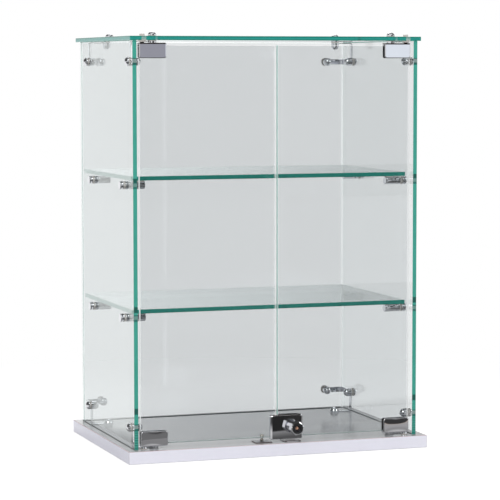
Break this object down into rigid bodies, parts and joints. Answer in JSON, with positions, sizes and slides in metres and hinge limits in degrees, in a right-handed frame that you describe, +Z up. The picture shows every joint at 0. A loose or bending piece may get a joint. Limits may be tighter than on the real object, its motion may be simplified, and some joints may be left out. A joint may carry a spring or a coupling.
{
  "type": "countertop display case",
  "caption": "Upright countertop display case of clear glass panels on a laminated base board, with glass shelves and a pair of pivot-hung glass doors with a lock.",
  "frame": {"origin": "middle of the base board's underside", "axes": "X to the right, Y to the back (the doors face -Y), Z up"},
  "size_m": [0.458, 0.324, 0.6123],
  "materials": {
    "glass": "clear, with green polished edges",
    "chrome": "polished",
    "zinc_steel": "satin",
    "black_metal": "gloss black",
    "brass": "bare",
    "grey_sheet": "high gloss",
    "pale_band": "satin silver-white",
    "board": "raw chipboard, hidden",
    "clear_nylon": "milky",
    "rubber": "matt"
  },
  "bodies": {
    "case": {"base_core": "board", "base_top_sheet": "grey_sheet", "base_bottom_sheet": "grey_sheet", "base_band_front": "pale_band", "base_band_back": "pale_band", "base_band_left": "pale_band", "base_band_right": "pale_band", "side_panel_left": "glass", "side_panel_right": "glass", "back_panel": "glass", "top_panel": "glass", "shelf_lower": "glass", "shelf_upper": "glass", "top_strip_front_left": "chrome", "top_strip_front_right": "chrome", "top_strip_rear_left": "chrome", "top_strip_rear_right": "chrome", "base_strip_front_left": "chrome", "base_strip_front_right": "chrome", "base_strip_rear_left": "chrome", "base_strip_rear_right": "chrome", "back_strip_high_left": "chrome", "back_strip_high_right": "chrome", "back_strip_low_left": "chrome", "back_strip_low_right": "chrome", "side_screws": "chrome", "back_screws": "chrome", "top_screws": "chrome", "side_nuts": "chrome", "back_nuts": "chrome", "top_nuts": "chrome", "clear_washers": "clear_nylon", "wood_screws": "zinc_steel", "screw_caps": "chrome", "stud_heads": "chrome", "stud_barrels": "chrome", "shelf_pads": "clear_nylon", "pivot_bushes": "clear_nylon", "stop_plate": "zinc_steel", "stop_pin": "zinc_steel", "strike_plate": "zinc_steel"},
    "left_door": {"door_glass_left": "glass", "hinge_top_left": "chrome", "hinge_bottom_left": "chrome", "liners_left": "rubber", "pivot_pins_left": "zinc_steel", "grub_screws_left": "zinc_steel"},
    "right_door": {"door_glass_right": "glass", "hinge_top_right": "chrome", "hinge_bottom_right": "chrome", "liners_right": "rubber", "pivot_pins_right": "zinc_steel", "grub_screws_right": "zinc_steel", "lock_case": "chrome", "lock_barrel": "chrome"},
    "lock_turn": {"lock_plug": "black_metal", "lock_post": "brass", "lock_crank": "zinc_steel"},
    "lock_slide": {"lock_bolt": "zinc_steel"}
  },
  "joints": [
    {"name": "right_door_swing", "type": "hinge", "parent": "case", "child": "right_door", "pos_m": [0.201, -0.1365, 0.3], "axis": [0, 0, 1], "range_deg": [0, 105]},
    {"name": "left_door_swing", "type": "hinge", "parent": "case", "child": "left_door", "pos_m": [-0.201, -0.1365, 0.3], "axis": [0, 0, -1], "range_deg": [0, 105]},
    {"name": "lock_plug_turn", "type": "hinge", "parent": "right_door", "child": "lock_turn", "pos_m": [0.022, -0.1475, 0.04025], "axis": [0, 1, 0], "range_deg": [0, 90]},
    {"name": "lock_bolt_slide", "type": "slide", "parent": "right_door", "child": "lock_slide", "axis": [0, 0, -1], "range_m": [0, 0.0099]}
  ],
  "couplings": [
    {"joint": "left_door_swing", "follows": "right_door_swing", "ratio": 1},
    {"joint": "lock_bolt_slide", "follows": "lock_plug_turn", "m_per_rad": 0.0063}
  ]
}
